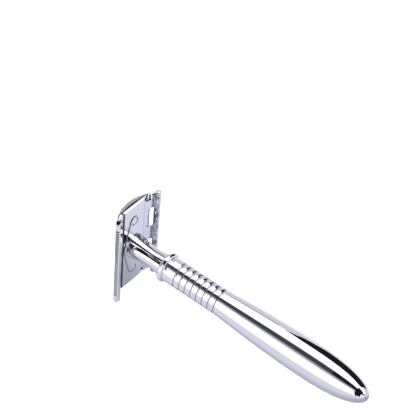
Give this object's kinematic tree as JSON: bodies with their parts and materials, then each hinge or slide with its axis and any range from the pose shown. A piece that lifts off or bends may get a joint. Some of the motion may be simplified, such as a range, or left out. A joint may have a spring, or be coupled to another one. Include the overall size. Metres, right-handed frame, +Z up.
{
  "type": "safety razor",
  "caption": "Three-piece double-edge safety razor with domed cap, ridged guard bars, hourglass neck and ribbed, swelling handle, all chrome.",
  "frame": {"origin": "centre of the bounding box, on the surface the razor lies on: the head stands on one short end and the handle's belly rests on the surface", "axes": "+X along the surface from the head to the handle's rounded end, +Z up, +Y across the width of the head; the handle's own axis leans 9.57 degrees down from +X"},
  "size_m": [0.1196, 0.0258, 0.0457],
  "materials": {
    "bright_chrome": "polished chrome plate",
    "stud_steel": "machined steel",
    "bush_brass": "machined brass"
  },
  "bodies": {
    "handle": {"thread_bush": "bush_brass", "neck": "bright_chrome", "collar_ring": "bright_chrome", "joining_stud": "stud_steel", "grip_barrel": "bright_chrome"},
    "guard": {"base_plate": "bright_chrome"},
    "cap": {"cap": "bright_chrome", "cap_stud": "stud_steel", "cap_pins": "bright_chrome"}
  },
  "joints": [
    {"name": "head_turn", "type": "hinge", "parent": "handle", "child": "guard", "pos_m": [-0.05264, 0, 0.02317], "axis": [-0.9861, 0, 0.1663], "range_deg": [0, 2520]},
    {"name": "cap_lift", "type": "slide", "parent": "guard", "child": "cap", "axis": [-0.9861, 0, 0.1663], "range_m": [0, 0.0056]}
  ],
  "couplings": [
    {"joint": "cap_lift", "follows": "head_turn", "m_per_rad": 0.00012732}
  ]
}
